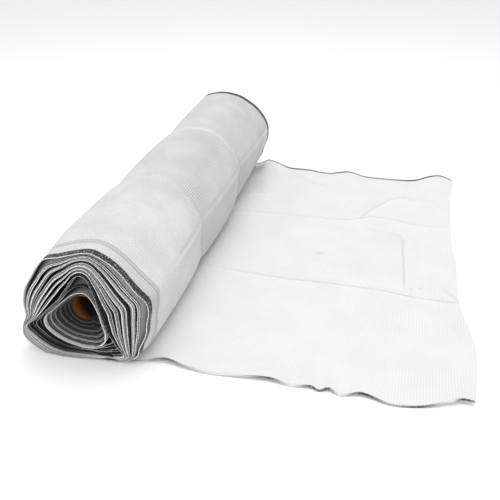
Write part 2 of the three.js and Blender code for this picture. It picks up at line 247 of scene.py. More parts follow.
# How far the outer turn's hem leans in at its near edge, by direction
HEM_LEAN = table(
    "at lean",
    (0, 6), (10, 6), (19, 6), (26, 10), (34, 11), (42, 7), (50, 4), (58, 4), (66, 5), (74, 4), (86, 6),
    (97, 5), (112, 0), (150, 0), (200, 0), (260, 0), (312, 0), (325, 1), (335, 6), (346, 11),
)
HEM_LEANS_OVER = 45
LEAN_ENDS_AT = 0.35

# One turn inside the triangle hangs low at its edge under the point, and rises behind it
HANGING_TURN = 18
HANGS_AT = 1.62
HANGING = (1, 80, 30)
HANGING_ENDS = (3, 32)

# Underneath, the outer turn's dark thread is folded out of sight
THREAD_HIDES_FROM, THREAD_HIDES_TO = 205, 288
HIDDEN_BAND = 1.5
THREAD_FADES = 8
TURN_GROUPS = (
    ("outer_turn", 0, 1),
    ("outer_windings", 1, 13),
    ("middle_windings", 13, 19),
    ("inner_windings", 19, 28),
)

# The loose end's two selvages, by distance from the core side: how far each is drawn in, how high it is
# lifted off the floor, and how strongly its dark thread shows
NEAR_SELVAGE = table(
    "x inset lift thread",
    (50, 0, 0, 1.0), (95, 7, 3, 0.3), (136, 13, 10, 0.9), (175, 6, 6, 0.5), (222, 2, 2, 0.1),
    (280, 4, 4, 0.2), (335, 6, 7, 0.9), (375, 3, 1, 0.1), (409, 4, 5, 0.9), (425, 1, 1, 0.8),
    (441, 4, 6, 0.9), (462, -2, 0, 0.1), (498, 4, 6, 1.0), (550, -6, 0, 0.5), (600, 0, 1, 0.9),
    (650, 14, 11, 0.1), (668, 21, 15, 1.0), (700, 18, 12, 0.4),
)
FAR_SELVAGE = table(
    "x inset lift",
    (50, 0, 0), (84, -32, 8), (115, -28, 17), (148, -19, 14), (188, -6, 6), (246, -5, 5),
    (307, -2, 1), (370, -9, 8), (416, -1, 1), (505, 1, 0), (562, -4, 2), (602, -14, 13),
    (633, -18, 17), (670, -10, 9),
)
LIFT_REACH = 48
NEAR_LIFT_KEPT = 0.7
NEAR_INSET_FOR_LIFT = 0.5

# The cut edge, by distance from the near selvage, and the two fold lines along the sheet
FREE_EDGE = table(
    "y x",
    (0, 683), (60, 691), (120, 697), (180, 698), (237, 692), (292, 681), (344, 671), (418, 670),
    (515, 668), (622, 661), (744, 660), (860, 662), (1000, 667),
)
NEAR_FOLD = table(
    "x y",
    (50, 372), (190, 366), (276, 359), (400, 360), (500, 357), (553, 348), (600, 343), (690, 342),
)
FAR_FOLD = table(
    "x y",
    (50, 676), (200, 681), (300, 682), (400, 689), (465, 720), (515, 714), (584, 696), (690, 706),
)
FOLD_HEIGHT = 4.2
FOLD_WIDTH = 8

# Thin lines of painted shade on the sheet, where the cloth underneath ends or is pinched: strength and
# places
SHEET_LINES = (
    (0.16, ((445, 661), (478, 648), (510, 640), (533, 631), (544, 609))),
    (0.42, ((544, 609), (547, 539), (554, 437), (556, 387))),
    (0.18, ((557, 379), (598, 391))),
    (0.28, ((332, 496), (371, 492))),
    (0.14, ((90, 793), (120, 802), (154, 807))),
    (0.14, ((227, 953), (272, 908), (321, 893))),
    (0.3, ((430, 708), (444, 738), (468, 783), (499, 839), (532, 863), (562, 850))),
    (0.25, ((643, 388), (665, 360), (670, 345))),
    (0.12, ((93, 1012), (104, 985), (110, 950))),
    (0.1, ((124, 1004), (150, 968), (168, 930))),
)

# Soft ridges that wander off the fold lines: height, width and the places that each runs through
RIDGES = (
    (4, 16, ((439, 730), (468, 783), (499, 839), (532, 863), (562, 850), (612, 847))),
    (3, 15, ((500, 338), (536, 326), (590, 300), (631, 263), (660, 228))),
    (3, 13, ((90, 793), (154, 807))),
    (3, 15, ((185, 972), (227, 953), (272, 908), (321, 893))),
    (1.5, 6, ((332, 496), (371, 492))),
    (2, 8, ((643, 388), (665, 360), (670, 345))),
)

# A fold of cloth underneath lifts one corner of the middle band
STEP = {"height": 1.6, "width": 5, "right": 550, "left": 330, "fades": 150, "near": 390, "far": 642}

SWELLS = table(
    "x y height reach",
    (330, 180, 4, 90), (520, 110, 3, 70), (230, 520, 3, 100), (610, 520, 4, 60),
    (400, 820, 3, 80), (170, 850, 4, 60),
)

# The tube, and the room between it and the innermost turn
TUBE_RADIUS = 28.5
TUBE_BORE = 25
TUBE_FITS = 0.4

# The tube's board: its ply, the paper strip that it is wound from, and how deep in the bore the painted
# shade begins and is darkest. It comes sooner on the bore's right side, by this much for each millimetre
# across.
PLY = 0.7
BOARD_STRIP = 90
BORE_LIT = 9
BORE_DARK = 36
BORE_TURNS_DARK = 0.7

# Where the cloth leaves the roll, as directions: on the floor, and one thickness of cloth above it
SEAM_ON_FLOOR = math.degrees(math.atan2(-AXIS_Z, SEAM_X - AXIS_X)) % FULL_TURN
SEAM_ON_CLOTH = math.degrees(math.atan2(SOLID_CLOTH - AXIS_Z, SEAM_X - AXIS_X)) % FULL_TURN
SEAM_RISES_AT = 0.9

# Steps round one turn, the share of it that joins the turn outside, and where along the roll it is shaped
STEPS_ROUND = 160
OUTER_STEPS_ROUND = 360
JOIN = 0.07
STATIONS = (
    0, 2.5, 6, 10, 16, 26, 35, 45, 60, 80, 105, 130, 165, 210, 280, 357, 520, 691, 850, 950, 985, 995, 1000,
)
OUTER_STATIONS = (0, 1.5, 3, 5, 7, 9, 12, 16, 20, 26, 30, 33, 35, 37, 39, 41, 43, 46, 50, 55)
PINCH_STATIONS = (
    -44, -32, -23, -16, -11, -8, -6, -4, -3, -2, -1, 0, 1, 2, 3, 5, 7, 11, 16, 23, 32, 44, 60,
)
COARSE_STEP = 14.0
COARSE_MARGIN = 60
COARSE_CLEAR = 6

# Under the triangle's point the turns lie this much closer. Behind the hem the first turns keep the
# least gap, and all are evenly wound beyond the near end.
POINT_PACKING = 0.22
LEAST_GAP = 1.4
GAP_TURNS = 3
GAP_OPENS = (15, 45)
GROWS_EVEN = (60, 380)
LEAST_ROOM = 0.3

# The cloth's thickness behind the hem, and the most of the room to the next turn that it takes
CLOTH_INSIDE = 0.9
HEM_THINS = (8, 30)
ROOM_TAKEN = 0.55

# Random lines: how often each changes along the measure that it runs over, where it starts, and its seed
SWAY = (13, 40, 7)
FINE_SWAY = (31, 0, 8)
NEAR_RIPPLE = (19, 9, 9)
FAR_RIPPLE = (11, 3, 10)
CREASE_SHADE_WANDER = (0.02, 0, 27)
HIGHLIGHT_WANDER = (0.03, 30, 28)
FOLD_SHADE_WANDER = (0.03, 0, 41)
FAR_THREAD = (0.02, 7, 43)
SWAY_SHARE = 0.16
SWAY_ROOM = 8
SWAY_ENDS = (20, 120)
NEAR_RIPPLE_DEPTH = 1.1
FAR_RIPPLE_DEPTH = 1.4

# Random lines over two measures: how often each changes along both, where it starts, and its seed
DENTS = ((0.05, 0.006, 60, 22), (0.03, -0.011, 90, 23))
CRUMPLES = ((0.021, 0.013, 50, 31), (0.012, -0.024, 90, 32))
DENT_DEPTH = 0.6
DENTS_FADE = 60
CRUMPLE_HEIGHT = 0.5

# How the light is lost between two turns: deep inside the roll's end, behind the edge that shades a
# place, and past the edge on a turn's inner face
DEEP_LOST = 0.7
DEEP = (3, 34)
REACH_SHARE, REACH_LEAST, REACH_MOST = 0.9, 2, 9
INNER_FACE_FADES = 2.5
HEM_FOLDS_OVER = 2

# Spots where the turns lose more light, and how far along the roll each reaches
LOW_LEFT = (0.85, 238, 46)
STACK_LOW_LEFT = (0.3, 238, 46)
SECOND_TURN_LEFT = (0.25, 145, 35)
UNDER_CORNER = (0.9, 311, 9)
LOW_LEFT_ENDS = (20, 60)
UNDER_CORNER_ENDS = (4, 14)
UNDER_CORNER_TURNS = 3

# The light lost on the hanging turn and on the one inside it, and on the hanging turn's face behind its edge
HANGING_LOST = 0.5
BENEATH_HANGING_LOST = 0.35
BENEATH_HANGING_LIT = 0.6
BEHIND_HANGING_LOST = 0.92
BEHIND_HANGING_ENDS = (4, 10)

# The light lost on the outer turn's face: beside the sheet, under the bulge beyond the first pinch, and
# along the hem
FURTHER = (PINCHES[0] - 120, PINCHES[0] + 60)
CONTACT_LOST, CONTACT_FURTHER = 0.2, 0.16
CONTACT_HEIGHTS = (3, 30)
BULGE_LOST = 0.06
BULGE_RIGHT = (0.1, 50, 34)
BULGE_LOW = (0.16, 352, 22)
HEM_LOST = 0.06
HEM_RIGHT = (0.2, 22, 38)
HEM_ENDS = (30, 46)

# The outer turn's face: its lips and tucks, the ridge low on the right and the stitches. Beside a pinch, a
# rise is a height, how far beyond the pinch it lies, and a width.
PINCH_LIP = (1.8, -7, 8)
PINCH_TUCK = (2.6, 3, 4.5)
TUCKS_RIGHT = (1, 22, 34)
RIDGE_HEIGHT = 0.9
RIDGE_DIRECTION = 24
RIDGE_TURNS = 0.004
RIDGE_WIDTH = 3.5
RIDGE_LOST_AT_PINCH = 0.6
RIDGE_ENDS = (20, 70)
STITCH_ROWS = (35, 43)
STITCH_WIDTH = 1.8
STITCH_DEPTH = 0.5

# Where the ribs show on the outer turn
RIBS_LEAST = 0.14
RIBS_RIGHT = (0.55, 50, 42)
RIBS_FADE = 20
GATHERS = (0.45, 40, 30)
GATHERS_BEFORE, GATHERS_BEYOND = 30, 50

# The line low on the right where the cloth is tight: its ribs, its painted highlight and the painted shadow
# beside it
LINE_DIRECTION = 23
LINE_RIBS = (0.9, LINE_DIRECTION, 7)
LINE_LIGHT = (0.4, LINE_DIRECTION, 1.8)
LINE_SHADOW = (0.28, LINE_DIRECTION + 3.5, 1.6)
LINE_RIBS_START = (60, 140)
LINE_STARTS = (60, 160)

# The painted shade along each pinch, low on the right, and the painted highlight on the lip before it over
# the top
PINCH_CREASE = (1, 2, 2.6)
CREASE_LOW = (0.75, 4, 30)
HIGHLIGHT_OVER_TOP = (1, 70, 36)
HIGHLIGHT_STRENGTHS = (0.1, 0.42)
HIGHLIGHT_BEFORE, HIGHLIGHT_WIDTH = 4, 11

# The inner turns' ribs, and how their far selvage's thread fades
INNER_RIBS = 0.3
INNER_THREAD_LOST = 0.8
INNER_THREAD_FADES = (400, 600)

# The loose end's grid, the bead along its selvages, and the thin lines and shade painted on it
SHEET_COLUMNS = 220
SHEET_GAP = 0.3
HALF_BAND = (0, 0.003, 0.006, 0.01, 0.016, 0.025, 0.036, 0.05, 0.066, *np.linspace(0.085, 0.5, 20))
BEAD_HEIGHT = 0.4
BEAD_RADIUS = 1.6
FOLD_LINE_STRENGTH = 0.42
FOLD_LINE_WIDTH = 2.2
THIN_LINE_WIDTH = 2
FAR_FOLD_LEAST = 0.45
FAR_FOLD_CLEAREST, FAR_FOLD_REACH = 430, 60
NEAR_FOLD_SHOWS = (130, 260)
LINES_SHOW = (84, 130)
WEDGE_STARTS = 66
WEDGE_LOST = 0.08
WEDGE_WIDTH = 11
STEP_LOST = 0.02
STEP_EDGE = 12
STEP_SOFT = 60

# The camera that the photograph's straight lines give
CAMERA_AT = Vector((0.5243, -1.4306, 0.7888))
CAMERA_PITCH = 28.61
CAMERA_HEADING = 13.42
CAMERA_LENS = 49.3

# The stage in metres: the floor, and each light's place, the point that it shines at, and its width
FLOOR_SIZE = 16
FLOOR_AT = (0, 3, -0.4 * MM)
KEY_LIGHT = ((0.25, 0.3, 2.9), (0.0, 0.0, 0.0), 2.2)
FILL_LIGHT = ((0.4, -2.6, 1.6), (0.1, 0.0, 0.1), 2.0)


# What a user may change

def length_setting(name, description, default, least, most):
    """A length on the panel, given here in millimetres."""
    return bpy.props.FloatProperty(
        name=name, description=description, default=default * MM, min=least * MM, max=most * MM,
        unit="LENGTH",
    )


def colour_setting(name, description, default):
    """A colour on the panel, as a hex value."""
    return bpy.props.StringProperty(
        name=name, description=description + ", as a hex value", default=default,
    )


def power_setting(name, description, default):
    """A light's power on the panel, in watts."""
    return bpy.props.FloatProperty(
        name=name, description=description, default=default, min=0, subtype="POWER", unit="POWER",
    )


class NettingSizes(bpy.types.PropertyGroup):
    cloth: length_setting("Cloth thickness", "Thickness of the net where it lies loose", 1.2, 0.4, 3)
    mesh_pitch: length_setting("Mesh pitch", "Distance between the net's yarns as drawn", 5.4, 2, 20)
    thread_band: length_setting(
        "Thread band", "Width of the dark thread round the roll's near end", 14, 2, 30,
    )
    hem_band: length_setting(
        "Hem band", "Width of the white band from the dark thread to the stitched line", 25, 5, 60,
    )
    fine_thread: length_setting(
        "Selvage thread", "Width of the dark thread along the loose end's selvages", 4.5, 1, 15,
    )


class NettingColours(bpy.types.PropertyGroup):
    wound: colour_setting("Wound net", "Colour of the net's yarn on the roll", "EBEBEA")
    laid: colour_setting("Laid net", "Colour of the net's yarn on the pale floor", "ECECEB")
    thread: colour_setting("Selvage thread", "Colour of the dark selvage thread", "2C2C2E")
    board: colour_setting("Tube board", "Colour of the tube's kraft board", "A0622A")
    # The cut ends' colour is darkened partly as painted shade, since they lie deep in the roll's end
    shaded_board_edge: colour_setting("Cut board", "Colour of the tube's cut ends", "302620")


class NettingStage(bpy.types.PropertyGroup):
    key_power: power_setting("Key light", "Power of the large soft light over the roll", 30)
    fill_power: power_setting("Fill light", "Power of the soft light in front", 16)
    surround: bpy.props.FloatProperty(
        name="Surround", description="Brightness of the pale surroundings", default=0.82, min=0, max=2,
        subtype="FACTOR",
    )


def settings():
    """The user's sizes, colours and stage."""
    scene = bpy.context.scene
    return scene.netting_sizes, scene.netting_colours, scene.netting_stage


# Materials

# Noise over a material: how fine it is, and how much detail it has
UNEVEN_YARN = (9.0, 2.0)
STRONG_PATCHES = (5.0, 1.0)
SOFT_PATCHES = (14.0, 3.0)
YARN_FUZZ = (420.0, 3.0)
THREAD_SPECKLE = (330.0, 1.0)
HEM_YARNS = (500.0, 2.0)
BOARD_FIBRES = (260.0, 5.0)

# Colours that stay as they are
# The hem's white also serves as the painted highlight, and the crease grey is painted shade
WHITE_HEM_AND_HIGHLIGHT, GREY_STITCH, CREASE_SHADE_GREY = "F8F8F8", "9A9A9A", "909090"
LIGHT_YARN, NO_LIGHT = "B0B0B0", "161616"
RIM_SHADED, RIM_LIT = "B4B4B4", "F0F0F0"
DARK_FIBRE, STRIP_JOINT, BORE_SHADE = "4A2A10", "5A3415", "221004"

# How the net looks wound on the roll, and laid on the pale floor, which shines through it
WOUND = {
    "ribs": 1.0, "wales": 0.25, "gap": "B6B6B5", "hem": 0.1, "stitch": 0.62, "broken": 0.59, "relief": 0.36,
    "far_band": 18,
}
LAID = {
    "ribs": 0.45, "wales": 0.45, "gap": "D9D9D8", "hem": 0, "stitch": 0, "broken": 0.62, "relief": 0.16,
    "far_band": 10,
}
# Mesh attributes for the material: the thread, its band, painted shade, painted crease shade, the ribs and a
# painted highlight
MARKS = ("thread", "band", "painted_shade", "crease_shade", "ribbed", "painted_highlight")
YARN_DRIFT = 0.9
GRID_LEAST = 0.25
PATCH_DEPTH = 0.35
FUZZ_DEPTH = 0.55
FUZZ_RELIEF = 0.25
STITCH_ROWS_APART = 6.5
STITCH_ENDS, STITCH_FULL = 4.2, 0.8
JOINT_WIDTH = 0.025


def linear(hex_colour):
    """An sRGB hex colour as the linear numbers that a shader takes."""
    parts = [int(hex_colour[i:i + 2], 16) / 255 for i in (0, 2, 4)]
    return (*[p / 12.92 if p <= 0.04045 else ((p + 0.055) / 1.055) ** 2.4 for p in parts], 1.0)


def add(tree, kind, inputs=None, **options):
    """Adds one node with its options. Each input is a value, or another node's socket to link."""
    node = tree.nodes.new(kind)
    for name, value in options.items():
        setattr(node, name, value)
    for key, value in (inputs or {}).items():
        if isinstance(value, bpy.types.NodeSocket):
            tree.links.new(value, node.inputs[key])
        else:
            node.inputs[key].default_value = value
    return node


def new_material(name):
    """A material with an empty node tree, and that tree."""
    material = bpy.data.materials.new(name)
    material.use_nodes = True
    material.node_tree.nodes.clear()
    return material, material.node_tree


def finish_material(tree, inputs):
    """Puts the shader and the output into a material's tree."""
    shader = add(tree, "ShaderNodeBsdfPrincipled", inputs)
    add(tree, "ShaderNodeOutputMaterial", {"Surface": shader.outputs[0]})


def maths(tree, operation, *values):
    """One Math node's result."""
    return add(tree, "ShaderNodeMath", dict(enumerate(values)), operation=operation).outputs[0]


def mixed(tree, share, a, b):
    """One colour mix's result."""
    return add(tree, "ShaderNodeMix", {0: share, 6: a, 7: b}, data_type="RGBA").outputs[2]


def ramp_between(tree, value, start, end):
    """0 where the value is at start or before, 1 at end or after, and a soft step between."""
    inputs = {"Value": value, "From Min": start, "From Max": end}
    return add(tree, "ShaderNodeMapRange", inputs, interpolation_type="SMOOTHSTEP").outputs[0]


def noise(tree, place, grain):
    """Noise at a place, from 0 to 1."""
    scale, detail = grain
    return add(tree, "ShaderNodeTexNoise", {"Vector": place, "Scale": scale, "Detail": detail}).outputs[0]


def bump(tree, height, distance, strength):
    """A normal that shows a height as relief. distance is in millimetres."""
    inputs = {"Height": height, "Distance": distance * MM, "Strength": strength}
    return add(tree, "ShaderNodeBump", inputs).outputs[0]


def mark(tree, name):
    """A value that the mesh holds at each place."""
    return add(tree, "ShaderNodeAttribute", attribute_name=name).outputs["Fac"]


def short_calls(tree):
    """The calls that a material needs most, for one tree: sum, difference, product, ramp and mix."""
    sums = [partial(maths, tree, operation) for operation in ("ADD", "SUBTRACT", "MULTIPLY")]
    return *sums, partial(ramp_between, tree), partial(mixed, tree)


def netting_material(name, yarn_hex, look):
    """Knitted polyethylene netting, loom state: matt white yarn that scatters light softly, in a fine
    square grid with small dark openings. The real mesh is about 2 mm and too fine to show here, so it is
    drawn over twice as coarse. A denser hem band with a double stitched line runs along the near selvage,
    and the selvages are overlocked with dark thread, broken by light yarn between its stitches. The net
    is sheer, so light that enters between two turns is lost there; that shade, and the shade on the roll's
    face and on the sheet beside it, is painted into the colour from an attribute, as are thin lines of
    painted shade along the creases and a painted highlight along the pinches' lips."""
    sizes, colours, _ = settings()
    material, tree = new_material(name)
    plus, minus, times, ramp, mix = short_calls(tree)
    cloth = add(tree, "ShaderNodeUVMap", uv_map="cloth").outputs[0]
    split = add(tree, "ShaderNodeSeparateXYZ", {0: cloth})
    across, length = split.outputs[0], split.outputs[1]
    marks = {key: mark(tree, key) for key in MARKS}

    # The yarns, as ridges along and across the cloth, a little uneven, stronger in some patches
    drift = times(noise(tree, cloth, UNEVEN_YARN), sizes.mesh_pitch * YARN_DRIFT)
    turns = 2 * math.pi / sizes.mesh_pitch
    ribs, wales = [maths(tree, "SINE", times(plus(way, drift), turns)) for way in (length, across)]
    grid = plus(times(times(ribs, look["ribs"]), marks["ribbed"]), times(wales, look["wales"]))
    strong = ramp(noise(tree, cloth, STRONG_PATCHES), 0.38, 0.66)
    grid = times(grid, plus(GRID_LEAST, times(strong, 1 - GRID_LEAST)))

    # Fuzz of the yarn, and soft patches where more or less cloth lies underneath
    fuzz = noise(tree, cloth, YARN_FUZZ)
    patch = noise(tree, cloth, SOFT_PATCHES)

    # The hem and its two rows of stitches
    stitched_at = sizes.thread_band + sizes.hem_band
    in_hem = ramp(across, stitched_at + 0.5 * MM, stitched_at - 0.5 * MM)
    off = maths(tree, "ABSOLUTE", minus(across, stitched_at))
    off = maths(tree, "ABSOLUTE", minus(off, STITCH_ROWS_APART / 2 * MM))
    stitch = times(ramp(off, STITCH_ENDS * MM, STITCH_FULL * MM), look["stitch"])

    gap, white = linear(look["gap"]), linear(WHITE_HEM_AND_HIGHLIGHT)
    shade = mix(ramp(grid, -0.9, 0.5), gap, linear(yarn_hex))
    shade = mix(ramp(patch, 0.3, 0.7), mix(PATCH_DEPTH, shade, gap), shade)
    shade = mix(ramp(fuzz, 0.42, 0.62), shade, mix(FUZZ_DEPTH, shade, gap))
    shade = mix(times(in_hem, look["hem"]), shade, white)
    shade = mix(stitch, shade, linear(GREY_STITCH))
    # Painted shade along the creases, the fold lines and the thin lines on the sheet
    shade = mix(marks["crease_shade"], shade, linear(CREASE_SHADE_GREY))
    # A painted highlight in the hem's white, on the pinches' lips and on the tight line
    shade = mix(marks["painted_highlight"], shade, white)

    # The dark thread, broken by light yarn that shows between its stitches
    broken = ramp(noise(tree, cloth, THREAD_SPECKLE), look["broken"], look["broken"] + 0.07)
    dark = mix(broken, linear(colours.thread), linear(LIGHT_YARN))
    near_band = ramp(minus(across, times(marks["band"], MM)), 0.4 * MM, -0.4 * MM)
    far_width = look["far_band"] * MM
    far_band = ramp(minus(NET_WIDTH * MM, across), far_width + 0.3 * MM, far_width - 0.3 * MM)
    in_thread = times(maths(tree, "MAXIMUM", near_band, far_band), marks["thread"])
    # Painted shade where the light is lost: between the turns, on the roll's face and on the sheet beside it
    colour = mix(marks["painted_shade"], mix(in_thread, shade, dark), linear(NO_LIGHT))

    # Relief: yarns a few tenths of a millimetre high, and the stitched line pressed in
    height = plus(times(grid, look["relief"]), minus(times(fuzz, FUZZ_RELIEF), stitch))
    finish_material(tree, {
        "Base Color": colour, "Roughness": plus(times(ramp(fuzz, -0.6, 1.4), 0.12), 0.78),
        "Normal": bump(tree, height, 1, 0.6), "IOR": 1.5, "Sheen Weight": 0.1, "Sheen Roughness": 0.5,
    })
    return material


def rim_material():
    """The folded hem seen edge on: several layers of white yarn, so it looks lighter and rougher."""
    material, tree = new_material("white_hem_edge")
    plus, _, times, ramp, mix = short_calls(tree)
    yarns = noise(tree, add(tree, "ShaderNodeTexCoord").outputs["Object"], HEM_YARNS)
    colour = mix(ramp(yarns, 0.35, 0.6), linear(RIM_SHADED), linear(RIM_LIT))
    # The rim is darkened by the same painted shade as the turns
    finish_material(tree, {
        "Base Color": mix(mark(tree, "painted_shade"), colour, linear(NO_LIGHT)),
        "Roughness": plus(times(yarns, 0.15), 0.75), "Normal": bump(tree, yarns, 0.5, 0.5),
    })
    return material


def board_material(name, edge):
    """Spiral wound kraft board: brown paper, matt, with short fibres and a slightly darker line where each
    wound strip meets the next. Its cut ends are darker and show the plies as thin rings; part of that
    darkness is painted shade, as they lie deep inside the roll's end. Little light reaches down the bore,
    so shade is painted in there, and the board looks almost black a few centimetres inside either mouth,
    sooner on the bore's right side."""
    _, colours, _ = settings()
    material, tree = new_material(name)
    plus, minus, times, ramp, mix = short_calls(tree)
    place = add(tree, "ShaderNodeTexCoord").outputs["Object"]
    to_tube = {"Vector": place, "Location": (-CORE_X * MM, 0, -CORE_Z * MM)}
    centred = add(tree, "ShaderNodeMapping", to_tube).outputs[0]
    x, y, z = add(tree, "ShaderNodeSeparateXYZ", {0: centred}).outputs
    fibres = noise(tree, centred, BOARD_FIBRES)
    if edge:
        radius = maths(tree, "SQRT", plus(times(x, x), times(z, z)))
        lines = maths(tree, "SINE", times(radius, 2 * math.pi / (PLY * MM)))
    else:
        around = maths(tree, "DIVIDE", maths(tree, "ARCTAN2", z, x), 2 * math.pi)
        wound = maths(tree, "FRACT", plus(maths(tree, "DIVIDE", y, BOARD_STRIP * MM), around))
        lines = times(ramp(wound, JOINT_WIDTH, 0.0), -1.0)
    # The cut ends' darker colour is partly painted shade
    board = linear(colours.shaded_board_edge if edge else colours.board)
    colour = mix(ramp(fibres, 0.3, 0.7), mix(0.4, board, linear(DARK_FIBRE)), board)
    colour = mix(ramp(lines, -0.2, -1.0), colour, linear(STRIP_JOINT))
    # Painted shade down the bore: darkest deep inside either mouth, and sooner on the right side
    low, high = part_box("core")
    inside = maths(tree, "MINIMUM", minus(y, low.y), minus(high.y, y))
    inside = plus(inside, times(plus(x, TUBE_BORE * MM), BORE_TURNS_DARK))
    colour = mix(ramp(inside, BORE_LIT * MM, BORE_DARK * MM), colour, linear(BORE_SHADE))
    height = plus(times(fibres, 0.4), times(lines, 0.3))
    finish_material(tree, {
        "Base Color": colour, "Roughness": plus(times(fibres, 0.2), 0.72),
        "Normal": bump(tree, height, 0.4, 0.5),
    })
    return material


def cloth_materials(laid):
    """The netting, laid or wound, and its hem edge."""
    _, colours, _ = settings()
    if laid:
        netting = netting_material("knitted_netting_laid", colours.laid, LAID)
    else:
        netting = netting_material("knitted_netting_wound", colours.wound, WOUND)
    return netting, rim_material()


# The wound net's shape

def between(at, other):
    """The angle between two directions, in degrees."""
    half = FULL_TURN / 2
    return np.abs(np.mod(at - other + half, FULL_TURN) - half)


def towards(at, spot):
    """How strong a spot is in each direction. A spot is a strength, a direction and a spread."""
    strength, direction, spread = spot
    return strength * bell(between(at, direction), spread)


def before(distance, ends):
    """1 up to the first of two distances, 0 beyond the second, and soft between."""
    return 1 - smooth(distance, *ends)


def by_direction(rows, column, at):
    """One column of a table that goes round the roll, read in each direction."""
    return read(rows, "at", column, at, FULL_TURN)


def pinch(distance):
    """How strongly the roll is drawn in at a distance from its near end, from 0 to 1."""
    total = 0
    for place in PINCHES:
        off = distance - place
        width = np.where(off < 0, SWELL_NEAR_SIDE, SWELL_FAR_SIDE)
        total = total + np.exp((PINCH_SOFTNESS - np.hypot(off, PINCH_SOFTNESS)) / width)
    return total


def outline(at, distance):
    """Distance from the axis to the outer turn, without the floor."""
    near = 1 - smooth(distance, 0, NEAR_SHAPE_ENDS)
    far = smooth(distance, FAR_SHAPE_STARTS, NET_WIDTH)
    full = by_direction(OUTLINE, "near", at) * near + by_direction(OUTLINE, "far", at) * far
    full = full + by_direction(OUTLINE, "middle", at) * (1 - near - far)
    return full - (PINCH_DEPTH + towards(at, PINCH_EXTRA)) * pinch(distance)


def reach_to_floor(at, level):
    """Distance from the axis to a level surface below it."""
    down = -np.sin(np.radians(at))
    return np.where(down > LEAST_SLOPE, (AXIS_Z - level) / np.maximum(down, LEAST_SLOPE), FAR_AWAY)


def reach_to_tube(at, radius):
    """Distance from the axis to a circle round the tube's own axis."""
    right, up = np.cos(np.radians(at)), np.sin(np.radians(at))
    off_x, off_z = CORE_X - AXIS_X, CORE_Z - AXIS_Z
    return off_x * right + off_z * up + np.sqrt(radius ** 2 - (off_x * up - off_z * right) ** 2)


def turn_place(turn, at, distance):
    """Where one turn lies between the outline, 0, and the tube, 3. Its near edge leans in, and at the top
    the turns between the triangle and the loop lie close under the triangle's point."""
    leans = 1 - towards(at, CURL_LESS_AT_LEFT)
    place = TURNS["place"][turn] + TURNS["curl"][turn] * leans * (1 - smooth(distance, 0, CURL_LENGTH))
    if 1 < TURNS["place"][turn] < 2:
        place = lerp(place, 1 + POINT_PACKING * (place - 1), towards(at, AT_TOP))
    if turn == HANGING_TURN:
        place = lerp(place, HANGS_AT, towards(at, HANGING) * before(distance, HANGING_ENDS))
    return place


def turn_radius(turn, part, distance):
    """Distance from the axis to one turn's outer face, and its direction. part runs from 0 at the seam to
    1 back at it, clockwise as seen from the near end. The outer turns' hem leans in at the near end."""
    at = SEAM_ON_FLOOR - FULL_TURN * part + (SEAM_ON_CLOTH - SEAM_ON_FLOOR) * smooth(part, SEAM_RISES_AT, 1)
    at = np.mod(at, FULL_TURN)
    level = np.where(part > 0.5, SOLID_CLOTH, 0)
    outer = np.minimum(outline(at, distance), reach_to_floor(at, level))
    triangle = np.minimum(by_direction(INNER_TURNS, "triangle", at), outer - LEAST_STACK)
    loop = np.minimum(by_direction(INNER_TURNS, "loop", at), triangle - LEAST_HOLLOW)
    tube = reach_to_tube(at, TUBE_RADIUS + TUBE_FITS)
    place = turn_place(turn, at, distance)
    marks = (outer, triangle, loop, tube)
    inside = np.clip(np.floor(place).astype(int), 0, PLACE_OF_TUBE - 1)
    packed = np.choose(inside, [lerp(marks[i], marks[i + 1], place - i) for i in range(PLACE_OF_TUBE)])
    lean = by_direction(HEM_LEAN, "lean", at) * (1 - smooth(distance, 0, HEM_LEANS_OVER))
    packed = packed - lean * np.clip(1 - place / LEAN_ENDS_AT, 0, 1)
    gap = min(turn, GAP_TURNS) * LEAST_GAP * smooth(distance, *GAP_OPENS)
    packed = np.minimum(packed, outer - gap)
    even = lerp(outer, tube, turn / len(TURNS["place"]))
    return lerp(packed, even, smooth(distance, *GROWS_EVEN)), at


def near_edge(turn, at):
    """How deep one turn's near edge lies inside the roll's end in each direction."""
    depth = TURNS["near"][turn]
    if TURNS["place"][turn] < 2:
        return depth + 0 * at
    return depth + np.minimum(TOP_DEPTH * towards(at, AT_TOP), max(TOP_DEEPEST - depth, 0))


def lost_light(behind, reach, depth, most):
    """How much light is lost at a place between two turns, from 0 to 1: more behind the edge that shades
    it, and more deep inside the roll's end. reach is how far the light comes in behind that edge."""
    shut = most * smooth(behind, 0, reach)
    deep = DEEP_LOST * smooth(depth, *DEEP)
    return 1 - (1 - shut) * (1 - deep)


def under_corner(at, distance):
    """The light lost under the roll's lower right corner, at the near end."""
    return towards(at, UNDER_CORNER) * before(distance, UNDER_CORNER_ENDS)


def lost_low(turn, at, distance):
    """The further light that one turn loses low on the left, under the corner and behind a hanging edge."""
    low = 0 * at
    if 0 < TURNS["place"][turn] < 2:
        spot = LOW_LEFT if TURNS["place"][turn] > 1 else STACK_LOW_LEFT
        low = towards(at, spot) * before(distance, LOW_LEFT_ENDS)
    if 0 < turn <= UNDER_CORNER_TURNS:
        low = low + under_corner(at, distance)
    if turn == HANGING_TURN:
        hung = BEHIND_HANGING_LOST * towards(at, HANGING)
        low = np.maximum(low, hung * before(distance, BEHIND_HANGING_ENDS))
    return low


